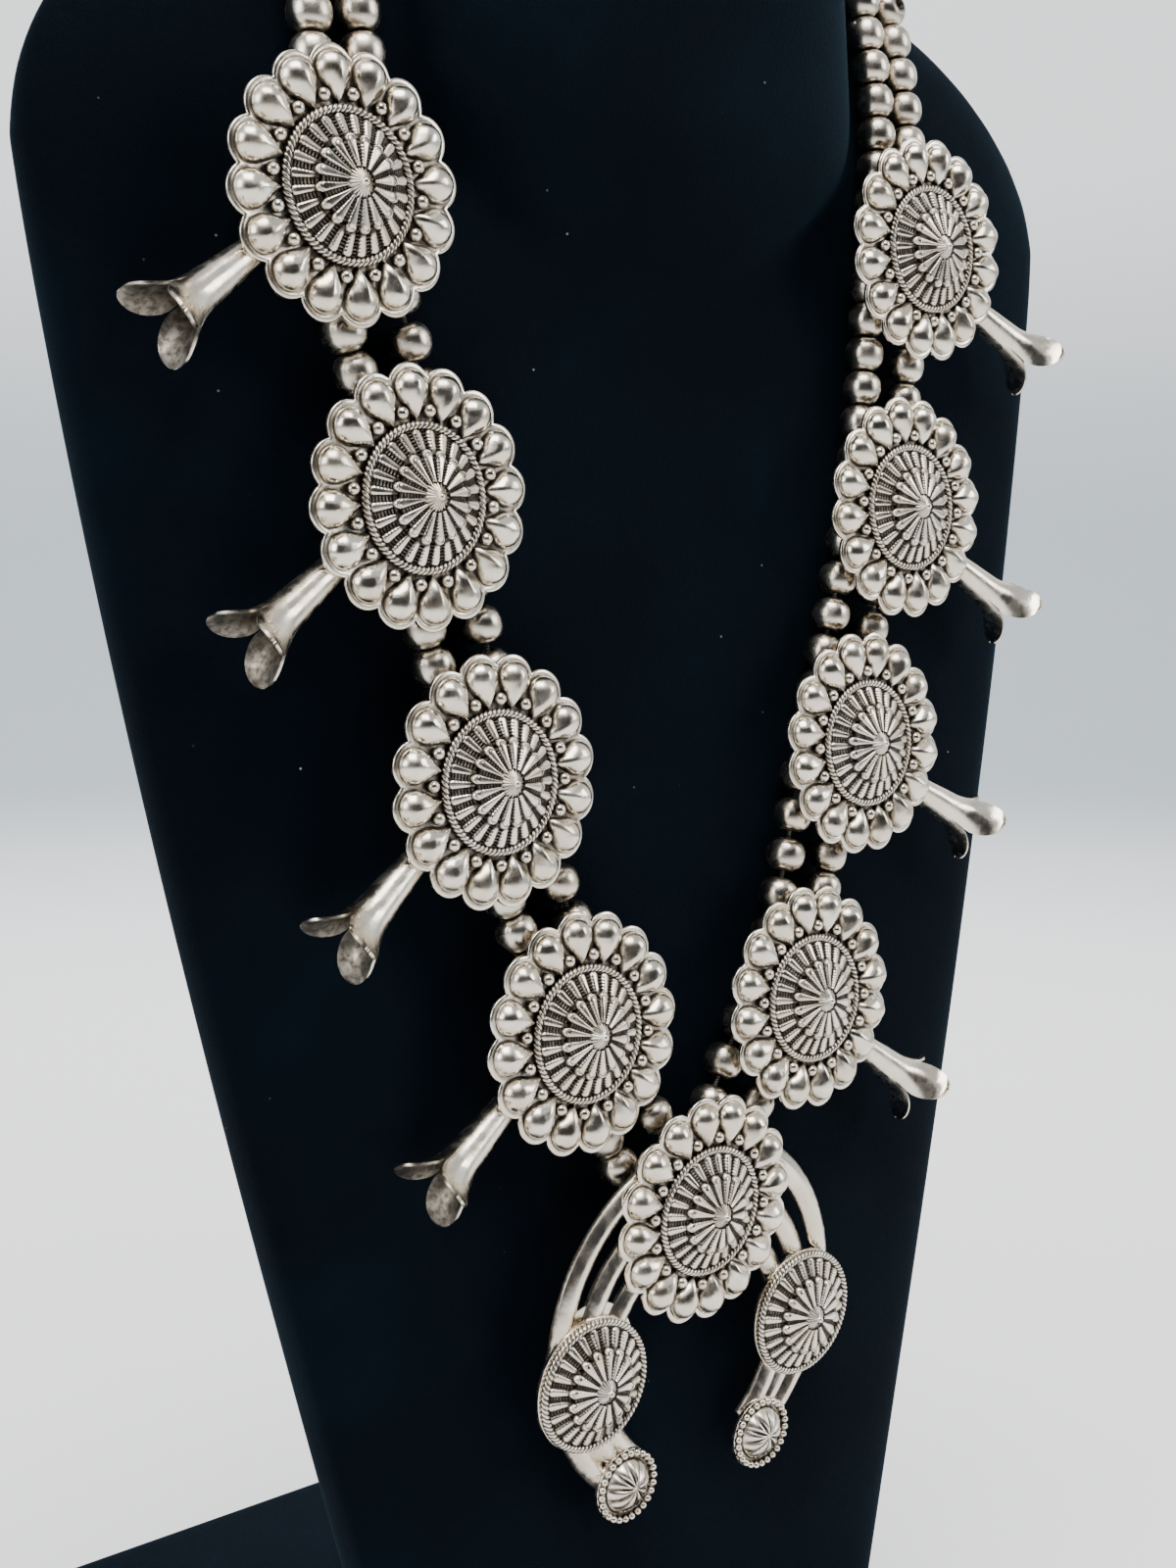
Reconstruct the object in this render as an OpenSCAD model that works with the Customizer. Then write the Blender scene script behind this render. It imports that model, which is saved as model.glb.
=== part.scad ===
// Squash blossom necklace of silver, two strands of beads hung on a plain neck bust
// Millimetres, +Z up, the front faces -Y, the origin is under the middle of the base board

/* [Neck bust] */
// Height of the widest level of the shoulders above the base board
shoulder_h = 288; // [280:1:296]
// Rise from the widest level to the top of the shoulders
shoulder_rise = 48; // [42:1:54]
// Height of the neck column above the top of the shoulders
neck_h = 40; // [30:1:70]
// Width over the shoulders
shoulder_w = 225; // [216:1:240]
// Width at the foot
foot_w = 98; // [84:1:112]
// Thickness of the chest
chest_d = 16; // [14:1:18]
// Width of the neck column
neck_w = 100; // [96:1:102]
// How far the neck stands in front of the chest
neck_front = 14; // [8:1:16]
// How far the neck reaches behind the front of the chest
neck_back = 58; // [50:1:60]
// Backward lean of the bust in degrees
lean = 2.3; // [1.5:0.1:3]

/* [Base board] */
// Width of the base board
board_w = 176; // [150:1:210]
// Depth of the base board
board_d = 180; // [172:1:200]
// Thickness of the base board
board_t = 12; // [8:1:18]
// Corner radius of the base board
board_r = 6; // [3:1:12]
// How far the board reaches in front of the foot
board_front = 23; // [20:1:30]

/* [Beads] */
// Diameter of a bead
bead_d = 7; // [6.6:0.1:7.2]
// Length of a bead along its thread
bead_l = 6; // [5.6:0.1:6.2]
// Diameter of the drilled hole
hole_d = 1.9; // [1.8:0.1:2.1]
// Diameter of the thread
thread_d = 0.8; // [0.6:0.1:0.8]
// Smallest gap between neighbouring beads
bead_gap = 0.12; // [0.12:0.01:0.2]
// Gap between the beads and the velvet
rest_gap = 0.3; // [0.25:0.05:0.4]

/* [Rosettes] */
// Outer diameter over the scallops
rosette_d = 40.8; // [40:0.1:42]
// Thickness of the backing plate
plate_t = 0.8; // [0.6:0.1:1]
// Number of scallops and teardrops
petals = 16; // [14:1:18]
// Widest radius of a teardrop
tear_r = 2.85; // [2.7:0.05:3]
// Flat rim of the plate outside the teardrops
rim_w = 1.1; // [0.8:0.1:1.2]
// Outer diameter of the rope ring
rope_d = 23.4; // [22.4:0.1:24]
// Thickness of the rope wire
rope_t = 1.5; // [1.2:0.1:1.6]
// Radius of the small balls between the teardrops
ball_r = 1.05; // [0.9:0.05:1.1]
// Height of the stamped dome above the plate
dome_h = 4.6; // [4:0.1:5.4]
// How far the rosettes hang outside the middle of the strands
outward_shift = 3.3; // [2:0.1:4]
// Gap between the beads and the backing plates
plate_gap = 0.5; // [0.4:0.1:0.7]
// Length of a shank tube along its thread
shank_l = 9; // [7:0.5:10]
// Outer diameter of a shank tube
shank_d = 3.4; // [3.1:0.1:3.6]

/* [Trumpets] */
// Distance from the rosette's centre to the petal tips
trumpet_reach = 37.8; // [36:0.2:40]
// Mean angle of the trumpets below the horizontal in degrees
trumpet_drop = 33.5; // [31:0.5:36]
// Diameter of the tube at the plate
trumpet_d = 4.2; // [3.6:0.1:4.6]
// Diameter of the tube where the petals part
throat_d = 6; // [5.2:0.1:6.4]
// Diameter of the circle through the petal tips
flare_d = 14.1; // [12:0.1:16]
// Length of the petals along the trumpet
petal_l = 8.6; // [7:0.1:9.5]
// Angle by which the trumpets lean towards the viewer
trumpet_rise = 5.5; // [4:0.5:7]
// Sheet thickness of the trumpet
sheet_t = 0.6; // [0.5:0.1:0.8]

/* [Naja] */
// Height of the naja's middle above the base board
naja_h = 114.5; // [110:0.5:116]
// Sideways place of the naja's middle
naja_x = -1; // [-3:0.5:1]
// Radius of the outer bar's middle line
outer_bar_r = 31.4; // [30.8:0.1:32.4]
// Radius of the middle bar's middle line
middle_bar_r = 26; // [25.6:0.1:26.2]
// Radius of the inner bar's middle line
inner_bar_r = 21.4; // [21:0.1:21.6]
// Drop from the rosette's middle to the outer bar's centre
outer_bar_drop = 20.4; // [20:0.1:21]
// Drop to the middle bar's centre
middle_bar_drop = 23.1; // [23:0.1:23.5]
// Drop to the inner bar's centre
inner_bar_drop = 26.2; // [26:0.1:26.5]
// Width of a bar
bar_w = 4.4; // [3.8:0.1:4.6]
// Height of a bar's ridge
bar_t = 2; // [1.8:0.1:2.2]
// Sideways place of the arm domes
arm_x = 25.3; // [24.5:0.1:26]
// Drop of the arm domes below the rosette's middle
arm_drop = 25.1; // [24.5:0.1:26]
// Sideways place of the terminals
tip_x = 16.4; // [16:0.1:17]
// Drop of the terminals below the rosette's middle
tip_drop = 46.2; // [45.5:0.1:46.8]
// Length of a shank tube behind the naja
naja_shank_l = 3.4; // [2.6:0.1:4]
// Diameter of a terminal over its beaded rim
tip_d = 13.4; // [12.8:0.1:13.8]
// Extra distance of the naja in front of the other rosettes
naja_lift = 1.4; // [1.2:0.1:2.2]
// Angle by which the naja's lower end lies nearer the bust in degrees
naja_tilt = 5.5; // [5:0.1:6]

/* [Clasp] */
// Length of the clasp along the strands
clasp_l = 14; // [12:0.5:18]
// Height of the clasp across the strands
clasp_w = 12.5; // [12:0.5:15]
// Thickness of the clasp
clasp_t = 4; // [3.5:0.1:5]

/* [Hidden] */
$fn = 48;
bead_r = bead_d / 2;
lift = bead_r + rest_gap;
chest_mid = chest_d / 2;
plate_back = lift + bead_r + plate_gap;
rosette_r = rosette_d / 2;
lobe_r = tear_r + rim_w;
lobe_at = rosette_r - lobe_r;
rope_r = (rope_d - rope_t) / 2;
naja_back = plate_back + naja_lift;
hung_y = board_front - board_d / 2;

// Rings of the bust from the foot up, closer together towards the shoulders, and points of a ring
chest_rings = 16;
shoulder_rings = 10;
neck_rings = 4;
edge_rings = 3;
ring_points = 64;
// The chest's flank is bowed outwards by this share between foot and shoulder
flank_bow = 0.2;
// Half width at which the shoulders run into the neck, as a share of the neck's
shoulder_end = 0.73;
// The neck grows out of the chest from this share of its size, over this height
neck_seed = 0.25;
neck_start = 28;
neck_grown = 12;
// Exponents of the sections: the squarish chest below and the rounder one at the top of the
// shoulders, reached over edge_rise, the neck's front, and the blend of neck into chest
chest_square = 4;
ridge_square = 2;
edge_rise = 45;
// The top of the shoulders lies this much further back than the flat chest
shoulder_curl = 5;
neck_square = 3;
blend = 24;
neck_edge_r = 5;

// Height at which the strands come down onto the flat chest, and sideways place of the two rows at
// the naja's shanks
front_top = 306;
naja_spread = 7.5;
// Route of the strands' middle line from the nape over the right shoulder, down to the naja and up
// to the nape again: each row holds where it touches the bust [x, y, z], the way the surface faces
// there, and half the spacing of the strands; on the flat chest y is the chest's own and not given,
// and z is a share of the way from the naja's middle up to front_top
ROUTE = [
    [[0, 58, 339], [0, 1, 0], 3.75],
    [[23.9, 52.9, 339.5], [0.46, 0.89, 0], 3.75],
    [[41.5, 38.8, 340], [0.79, 0.6, 0.1], 3.9],
    [[54.3, 25.5, 338.2], [0.6, 0.3, 0.75], 4.1],
    [[59.3, 12.7, 334.8], [0.17, -0.25, 0.97], 4.1],
    [[59.5, 7.9, 332.1], [0.13, -0.68, 0.72], 4.1],
    [[59.5, 4, 320], [0.09, -0.97, 0.22], 4.2],
    [[59.5, 1.6, front_top], [0.05, -1, 0.12], 4.3],
    [[57.5, undef, 0.8799], [0, -1, 0], 5.5],
    [[51, undef, 0.6345], [0, -1, 0], 5.5],
    [[38, undef, 0.4125], [0, -1, 0], 5.5],
    [[23.5, undef, 0.1802], [0, -1, 0], 5.6],
    [[12.5, undef, 0.0888], [0, -1, 0], 5.6],
    [[naja_x + naja_spread, undef, 0.0392], [0, -1, 0], 4.6],
    [[naja_x, undef, 0.0078], [0, -1, 0], 3.4],
    [[naja_x - naja_spread, undef, 0.0392], [0, -1, 0], 4.6],
    [[-14, undef, 0.0914], [0, -1, 0], 5.6],
    [[-23.5, undef, 0.1906], [0, -1, 0], 5.6],
    [[-40.5, undef, 0.4125], [0, -1, 0], 5.5],
    [[-53, undef, 0.6423], [0, -1, 0], 5.5],
    [[-64.5, undef, 0.8747], [0, -1, 0], 5.5],
    [[-64.3, 1.8, front_top], [-0.05, -1, 0.12], 4.3],
    [[-63.9, 4.2, 320], [-0.09, -0.97, 0.22], 4.2],
    [[-63.5, 8, 331.5], [-0.13, -0.68, 0.72], 4.1],
    [[-63, 12.7, 334.1], [-0.17, -0.25, 0.97], 4.1],
    [[-55.5, 25.5, 337.6], [-0.6, 0.3, 0.75], 4.1],
    [[-41.5, 38.8, 340], [-0.79, 0.6, 0.1], 3.9],
    [[-23.9, 52.9, 339.5], [-0.46, 0.89, 0], 3.75],
    [[0, 58, 339], [0, 1, 0], 3.75],
];
// Each blossom from the top down: its row of the route, and how far its petals and its trumpet are
// turned from their common places, in degrees
RIGHT_BLOSSOMS = [[8, 12.6, -3], [9, 6.5, -1], [10, 11.8, -4], [11, 6.6, 2.5]];
LEFT_BLOSSOMS = [[20, 6.2, 0.5], [19, 5.3, 1], [18, 9.3, 4], [17, 5, 0]];
// Rows of the route at which the naja's shanks sit, and the turn of its petals
NAJA_SEATS = [13, 15];
naja_turn = 6;

// Teardrop: its point as a share of its widest radius, how deep its middle lies in the plate, and how
// far its cone is let into its round part
tear_tip = 1.68;
tear_sink = 0.45;
tear_bite = 0.06;
// The disc under the teardrops reaches this far outside their middles
disc_rim = 1.2;
// Small balls: distance outside the rope ring and height above the plate, as shares of their radius
ball_out = 1.35;
ball_up = 0.6;
// Height of the rope ring's middle above the plate as a share of its thickness
rope_up = 0.4;
// Stamped dome's outline from its rim to its top, as shares of its radius and its height
DOME = [[1, 0.1], [0.66, 0.42], [0.62, 0.56], [0.22, 0.76], [0.2, 0.84], [0.1, 0.96], [0, 1]];

// Trumpet: how far inside the plate's edge it starts, its axis below the plate's back as a share of
// its tube, the width of a petal, and its flare as shares of the widening and of the petals' length
trumpet_root = 4;
trumpet_sink = 0.48;
petal_w = 6.4;
FLARE = [[0, 0], [0.22, 0.45], [0.6, 0.8], [1, 1]];
// Turn of the trumpets' front petals upwards, in degrees
petal_turn = 8;
// The petals' rounded ends stand this far beyond the trumpet's reach, which cuts them
petal_over = 0.6;

// Posts of the shank tubes, and how much wider than the drilled beads the tubes and clasp are bored
post_r = 1.3;
tube_room = 0.2;
clasp_room = 0.4;
// The naja's posts end this deep in its plate, and its tubes leave this gap to the first bead
naja_post_in = 1;
naja_tube_gap = 0.9;
naja_clear = naja_shank_l / 2 + naja_tube_gap;

// Bars of the crescent from the outside in: radius, drop of the centre, and how far below the
// terminals' middles they end
BARS = [[outer_bar_r, outer_bar_drop, 0.8], [middle_bar_r, middle_bar_drop, -1],
    [inner_bar_r, inner_bar_drop, -3]];
// The bars' ridges reach this far into the plates; their outer faces rise and slope in by these
bar_ridge = 0.6;
bar_edge = 0.6;
bar_slope = 0.3;
// Disc soldered behind the left arm's dome, shifted from it by this much
backing_t = 0.5;
backing_r = 9.5;
BACKING_SHIFT = [1, 4];
// Terminal: balls of its rim, their radius, and the dome that swells inside them
tip_balls = 26;
tip_ball_r = 0.7;
tip_ball_up = 0.3;
tip_dome_r = 5.9;
tip_dome_sink = 3.2;
tip_dome_in = 1.6;

// Samples of the route to a row, and rings and sides of a thread
steps = 12;
thread_rings = 180;
thread_sides = 6;
// Depth of the threads in the clasp, and the depth of its bores
thread_bite = 2;
bore_depth = 3;
// Millimetres by which the beads stand further apart for each degree of a bend
bend_room = 0.016;

function mix(a, b, w) = a + (b - a) * w;
function smooth(w) = let (c = max(0, min(1, w))) c * c * (3 - 2 * c);
function unit(v) = v / norm(v);

// Sections of the bust at height z: half width of the chest, and size share of the neck
function flank(s) = mix(foot_w, shoulder_w, (1 + flank_bow) * s - flank_bow * s * s * s) / 2;
function shoulder(a) = mix(shoulder_end * neck_w, shoulder_w, cos(a)) / 2;
function neck_share(z) =
    mix(neck_seed, 1, smooth((z - shoulder_h + neck_start) / (neck_start + neck_grown)));
function curl(z) = shoulder_curl * pow(max(0, min(1, (z - shoulder_h) / shoulder_rise)), 2);
function neck_radius(a, back) =
    let (depth = sin(a) < 0 ? neck_front + chest_mid + back : neck_back - chest_mid - back,
        square = sin(a) < 0 ? neck_square : 2)
    pow(pow(abs(cos(a)) / (neck_w / 2), square) + pow(abs(sin(a)) / depth, square), -1 / square);
function square_at(z) = mix(chest_square, ridge_square, smooth((z - shoulder_h) / edge_rise + 1 / 3));
function bulge(share, z) =
    chest_mid * pow(max(0, 1 - pow(abs(share), square_at(z))), 1 / square_at(z));
function section_point(half, z, a, inset = 0) =
    let (x = half * cos(a),
        y = sign(sin(a)) * bulge(cos(a), z),
        reach = norm([x, y]),
        out = neck_radius(atan2(y, x), curl(z)) * neck_share(z),
        grow = pow(1 + pow(out / reach, blend), 1 / blend) - inset / reach)
    [x * grow, chest_mid + curl(z) + y * grow, z];

// Every ring of the bust from the foot to the neck's top edge: [half width, height, inset]
bust_levels = concat(
    [for (i = [0 : chest_rings - 1]) let (s = sin(90 * i / chest_rings)) [flank(s), s * shoulder_h, 0]],
    [for (i = [0 : shoulder_rings]) let (a = 90 * i / shoulder_rings)
        [shoulder(a), shoulder_h + shoulder_rise * sin(a), 0]],
    [for (i = [1 : neck_rings]) [shoulder(90), shoulder_h + shoulder_rise
        + (neck_h - neck_edge_r) * i / neck_rings, 0]],
    [for (i = [1 : edge_rings]) let (a = 90 * i / edge_rings) [shoulder(90),
        shoulder_h + shoulder_rise + neck_h - neck_edge_r * (1 - sin(a)), neck_edge_r * (1 - cos(a))]]);

// The foot is cut level with the board although the bust leans
function level_foot(p) = p.z > 0 ? p : [p.x, p.y, p.y * tan(lean)];

function chest_front(x, z) =
    chest_mid - bulge(x / flank(z / shoulder_h), z);

route = [for (r = ROUTE) let (p = r[0], z = mix(naja_h, front_top, p.z))
    [is_undef(p.y) ? [p.x, chest_front(p.x, z), z] : p, r[1], r[2]]];
last = len(route) - 1;

// Smooth curve through the rows, one unit of u to a row; the route's ends are the same row
function row(i) = i < 0 ? route[last - 1] : i > last ? route[1] : route[i];
function gap(i) = norm(row(i + 1)[0] - row(i)[0]);
function slope(i, k) = let (a = gap(i - 1), b = gap(i))
    ((row(i + 1)[k] - row(i)[k]) * a / b + (row(i)[k] - row(i - 1)[k]) * b / a) / (a + b);
function route_value(u, k) = let (i = min(last - 1, floor(u)), w = u - i)
    row(i)[k] + (row(i + 1)[k] - row(i)[k]) * w * w * (3 - 2 * w)
    + (slope(i, k) * (1 - w) - slope(i + 1, k) * w) * gap(i) * w * (1 - w);
function facing(u) = unit(route_value(u, 1));
function middle(u) = route_value(u, 0) + facing(u) * lift;
function heading(u) = unit(middle(min(last, u + 0.02)) - middle(max(0, u - 0.02)));
function sideways(u) = unit(cross(facing(u), heading(u)));
// The outer strand lies on the side of +1 and the inner one on the side of -1
function strand_point(u, side) = middle(u) + sideways(u) * (side * route_value(u, 2));

// Length along a strand up to each sample, as a table for lookup(); a bend counts as shorter, so that
// the beads lie further apart there
function samples(side) = [for (i = [0 : last * steps]) strand_point(i / steps, side)];
function turn(p, i) =
    i < 1 || i + 1 >= len(p) ? 0 : acos(min(1, unit(p[i + 1] - p[i]) * unit(p[i] - p[i - 1])));
function lengths(p) = [for (i = 0, s = 0; i < len(p);
    s = s + (i + 1 < len(p) ? norm(p[i + 1] - p[i]) - turn(p, i) * bend_room : 0), i = i + 1) s];
inner_lengths = lengths(samples(-1));
outer_lengths = lengths(samples(1));
inner_table = [for (i = [0 : len(inner_lengths) - 1]) [inner_lengths[i], i / steps]];
outer_table = [for (i = [0 : len(outer_lengths) - 1]) [outer_lengths[i], i / steps]];
function length_at(u, side) = (side < 0 ? inner_lengths : outer_lengths)[u * steps];
function place_at(s, side) = lookup(s, side < 0 ? inner_table : outer_table);

// Turns +Z to the direction d
module aim(d) {
    rotate([0, acos(d.z), atan2(d.y, d.x)]) children();
}

// Places its children in the leaning frame of the bust, whose front is the plane y = 0
module hung() {
    translate([0, hung_y, board_t]) rotate([-lean, 0, 0]) children();
}

// Stands its children on the chest's plane: their +Z faces the viewer, their +Y is up
module facing_out(x, z, off) {
    translate([x, -off, z]) rotate([90, 0, 0]) children();
}

module neck_bust() {
    count = len(bust_levels);
    points = [for (level = bust_levels) for (i = [0 : ring_points - 1])
        level_foot(section_point(level[0], level[1], 360 * i / ring_points, level[2]))];
    sides = [for (r = [0 : count - 2]) for (i = [0 : ring_points - 1])
        let (j = (i + 1) % ring_points, a = r * ring_points, b = a + ring_points)
        each [[a + i, b + i, b + j], [a + i, b + j, a + j]]];
    foot = [[for (i = [0 : ring_points - 1]) i]];
    top = [[for (i = [ring_points - 1 : -1 : 0]) (count - 1) * ring_points + i]];
    color([0.05, 0.05, 0.07]) hung() polyhedron(points, concat(sides, foot, top));
}

module base_board() {
    w = board_w / 2 - board_r;
    d = board_d / 2 - board_r;
    color([0.05, 0.05, 0.07]) linear_extrude(board_t - rest_gap) union() {
        square([2 * w, board_d], center = true);
        square([board_w, 2 * d], center = true);
        for (x = [-w, w], y = [-d, d]) translate([x, y]) circle(board_r);
    }
}

// Half dome on z = 0 that tapers to a point towards the rosette's middle
module teardrop() {
    slant = asin(1 / tear_tip);
    neck = tear_r * sin(slant);
    translate([lobe_at, 0, plate_t - tear_sink]) {
        sphere(tear_r);
        translate([tear_bite - neck, 0, 0]) rotate([0, -90, 0])
            cylinder(h = tear_tip * tear_r - neck, r1 = tear_r * cos(slant), r2 = 0);
    }
}

// Stamped dome in two tiers with a fluted button
module stamped_dome() {
    rotate_extrude() polygon(concat([[0, 0], [rope_r, 0]],
        [for (share = DOME) [share[0] * rope_r, plate_t + share[1] * dome_h]]));
}

module rope_ring() {
    translate([0, 0, plate_t + rope_up * rope_t]) rotate_extrude() translate([rope_r, 0])
        circle(rope_t / 2);
}

// Rosette with the back of its plate on z = 0, facing +Z
module rosette(turned) {
    difference() {
        rotate(turned) union() {
            cylinder(h = plate_t, r = lobe_at + disc_rim);
            for (i = [0 : petals - 1]) rotate(360 * i / petals) {
                translate([lobe_at, 0, 0]) cylinder(h = plate_t, r = lobe_r);
                teardrop();
            }
            for (i = [0 : petals - 1]) rotate(360 * (i + 0.5) / petals)
                translate([rope_d / 2 + ball_out * ball_r, 0, plate_t + ball_up * ball_r]) sphere(ball_r);
            rope_ring();
            stamped_dome();
        }
        translate([-rosette_d, -rosette_d, -2 * rosette_d]) cube(2 * rosette_d);
    }
}

// Section of the trumpet's sheet: its outer line along the axis and the same line a sheet further in
module trumpet_section() {
    part = trumpet_reach - petal_l;
    outer = concat([[trumpet_d / 2, rosette_r - trumpet_root]],
        [for (share = FLARE) [mix(throat_d, flare_d, share[0]) / 2, part + share[1] * petal_l]]);
    inner = [for (i = [len(outer) - 1 : -1 : 0]) outer[i] - [sheet_t, 0]];
    polygon(concat(outer, inner));
}

// Trumpet along +Z with three petals, the first of them towards +X
module trumpet() {
    part = trumpet_reach - petal_l;
    round_at = petal_l - petal_w / 2 + petal_over;
    intersection() {
        rotate_extrude() trumpet_section();
        union() {
            cylinder(h = part + 1, r = flare_d);
            for (i = [0 : 2]) rotate(120 * i) translate([0, 0, part]) rotate([90, 0, 90])
                linear_extrude(flare_d) {
                    translate([-petal_w / 2, 0]) square([petal_w, round_at]);
                    translate([0, round_at]) circle(petal_w / 2);
                }
        }
    }
}

// Trumpet in its place on a rosette whose back is on z = 0, pointing along +X of the plate
module placed_trumpet(hand) {
    translate([rosette_r, 0, -trumpet_sink * trumpet_d]) rotate([0, -trumpet_rise, 0])
        translate([-rosette_r, 0, 0]) rotate([0, 90, 0]) rotate(180 - hand * petal_turn) trumpet();
}

// Two shank tubes and their posts behind a plate, at the route's place u
module shanks(u, length, post_end) {
    for (side = [-1, 1]) {
        p = strand_point(u, side);
        d = heading(u);
        difference() {
            union() {
                translate(p) aim(d) cylinder(h = length, d = shank_d, center = true);
                translate(p) rotate([90, 0, 0]) cylinder(h = post_end + p.y, r = post_r);
            }
            translate(p) aim(d) cylinder(h = length + 1, d = hole_d + tube_room, center = true);
        }
    }
}

// Blossom of one row of the lists above, with its trumpet on the side hand
module blossom(place, hand) {
    u = place[0];
    drop = trumpet_drop + place[2];
    seat = middle(u) + sideways(u) * outward_shift;
    front = chest_front(seat.x, seat.z);
    out = plate_back - front;
    color([0.72, 0.7, 0.66]) hung() {
        facing_out(seat.x, seat.z, out) {
            rosette(place[1]);
            rotate(hand > 0 ? -drop : 180 + drop) placed_trumpet(hand);
        }
        shanks(u, shank_l, out + plate_t / 2);
    }
}

// One bar of the crescent, a ridged strip bent round from tip to tip
module bar(r, centre_drop, end_drop) {
    end = asin((centre_drop - end_drop) / r);
    half = bar_w / 2;
    translate([0, -centre_drop, bar_ridge - bar_t]) rotate(end) rotate_extrude(angle = 180 - 2 * end)
        polygon([[r - half, 0], [r + half, 0], [r + half - bar_slope, bar_edge], [r, bar_t],
            [r - half + bar_slope, bar_edge]]);
}

module terminal() {
    cylinder(h = plate_t, r = tip_d / 2 - tip_ball_r / 7);
    for (i = [0 : tip_balls - 1]) rotate(360 * i / tip_balls)
        translate([tip_d / 2 - tip_ball_r, 0, plate_t + tip_ball_up]) sphere(tip_ball_r);
    translate([0, 0, plate_t]) intersection() {
        translate([0, 0, -tip_dome_sink]) sphere(tip_dome_r);
        cylinder(h = tip_dome_r, r = tip_d / 2 - tip_dome_in);
    }
}

module naja() {
    color([0.72, 0.7, 0.66]) hung() {
        facing_out(naja_x, naja_h, naja_back) rotate([naja_tilt, 0, 0]) {
            rosette(naja_turn);
            for (b = BARS) bar(b[0], b[1], tip_drop + b[2]);
            for (side = [-1, 1]) {
                translate([side * arm_x, -arm_drop, 0]) {
                    cylinder(h = plate_t, d = rope_d);
                    rope_ring();
                    stamped_dome();
                }
                translate([side * tip_x, -tip_drop, 0]) terminal();
            }
            translate([BACKING_SHIFT.x - arm_x, BACKING_SHIFT.y - arm_drop, bar_ridge - bar_t - backing_t])
                cylinder(h = 2 * backing_t, r = backing_r);
        }
        for (u = NAJA_SEATS) shanks(u, naja_shank_l, naja_back + naja_post_in);
    }
}

// A drilled oblate bead, its thread along Z
module bead() {
    r = bead_l / 2;
    rotate_extrude() difference() {
        translate([bead_r - r, 0]) circle(r);
        translate([-bead_l, -bead_l]) square([bead_l + hole_d / 2, 2 * bead_l]);
    }
}

// Beads that fill a strand between two lengths along it
module beads(from, to, side) {
    count = floor((to - from) / (bead_l + bead_gap));
    pitch = (to - from) / count;
    for (i = [0 : count - 1]) {
        u = place_at(from + (i + 0.5) * pitch, side);
        ahead = strand_point(u + 0.02, side) - strand_point(u - 0.02, side);
        translate(strand_point(u, side)) aim(unit(ahead)) bead();
    }
}

// The beads of one strand from row to row of the route, between the shanks at the seats
module bead_run(seats, side) {
    color([0.62, 0.6, 0.57]) hung() for (i = [0 : len(seats) - 2]) {
        a = length_at(seats[i][0], side) + seats[i][1] + bead_gap;
        b = length_at(seats[i + 1][0], side) - seats[i + 1][1] - bead_gap;
        beads(a, b, side);
    }
}

right_run = concat([[0, clasp_l / 2]], [for (b = RIGHT_BLOSSOMS) [b[0], shank_l / 2]],
    [[NAJA_SEATS[0], naja_clear]]);
left_run = concat([[NAJA_SEATS[1], naja_clear]],
    [for (i = [len(LEFT_BLOSSOMS) - 1 : -1 : 0]) [LEFT_BLOSSOMS[i][0], shank_l / 2]],
    [[last, clasp_l / 2]]);

// Thread through a strand, from the clasp round to the clasp
module thread(side) {
    bite = clasp_l / 2 - thread_bite;
    from = place_at(bite, side);
    to = place_at(length_at(last, side) - bite, side);
    n = thread_sides;
    points = [for (k = [0 : thread_rings]) let (u = mix(from, to, k / thread_rings),
            p = strand_point(u, side), d = heading(u), f = facing(u), s = cross(f, d))
        for (i = [0 : n - 1]) let (a = 360 * i / n) p + (f * cos(a) + s * sin(a)) * thread_d / 2];
    sides = [for (r = [0 : thread_rings - 1]) for (i = [0 : n - 1]) let (j = (i + 1) % n, a = n * r)
        each [[a + i, a + j, a + n + j], [a + i, a + n + j, a + n + i]]];
    caps = [[for (i = [n - 1 : -1 : 0]) i], [for (i = [0 : n - 1]) n * thread_rings + i]];
    color([0.4, 0.38, 0.35]) hung() polyhedron(points, concat(sides, caps));
}

// Plain block at the nape with a bore for each end of the threads
module clasp() {
    at = middle(0);
    half = clasp_l / 2 - bead_gap;
    color([0.7, 0.68, 0.64]) hung() difference() {
        translate([-half, at.y - clasp_t / 2, at.z - clasp_w / 2]) cube([2 * half, clasp_t, clasp_w]);
        for (side = [-1, 1]) for (end = [-1, 1])
            translate(strand_point(0, side)) rotate([0, 90 * end, 0])
                translate([0, 0, clasp_l / 2 - bore_depth])
                    cylinder(h = bore_depth + 1, d = hole_d + clasp_room);
    }
}

neck_bust();
base_board();
blossom(LEFT_BLOSSOMS[0], -1);  // blossom_left_1
blossom(LEFT_BLOSSOMS[1], -1);  // blossom_left_2
blossom(LEFT_BLOSSOMS[2], -1);  // blossom_left_3
blossom(LEFT_BLOSSOMS[3], -1);  // blossom_left_4
blossom(RIGHT_BLOSSOMS[0], 1);  // blossom_right_1
blossom(RIGHT_BLOSSOMS[1], 1);  // blossom_right_2
blossom(RIGHT_BLOSSOMS[2], 1);  // blossom_right_3
blossom(RIGHT_BLOSSOMS[3], 1);  // blossom_right_4
naja();
bead_run(left_run, -1);  // inner_beads_left
bead_run(right_run, -1);  // inner_beads_right
bead_run(left_run, 1);  // outer_beads_left
bead_run(right_run, 1);  // outer_beads_right
thread(-1);  // inner_thread
thread(1);  // outer_thread
clasp();
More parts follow.
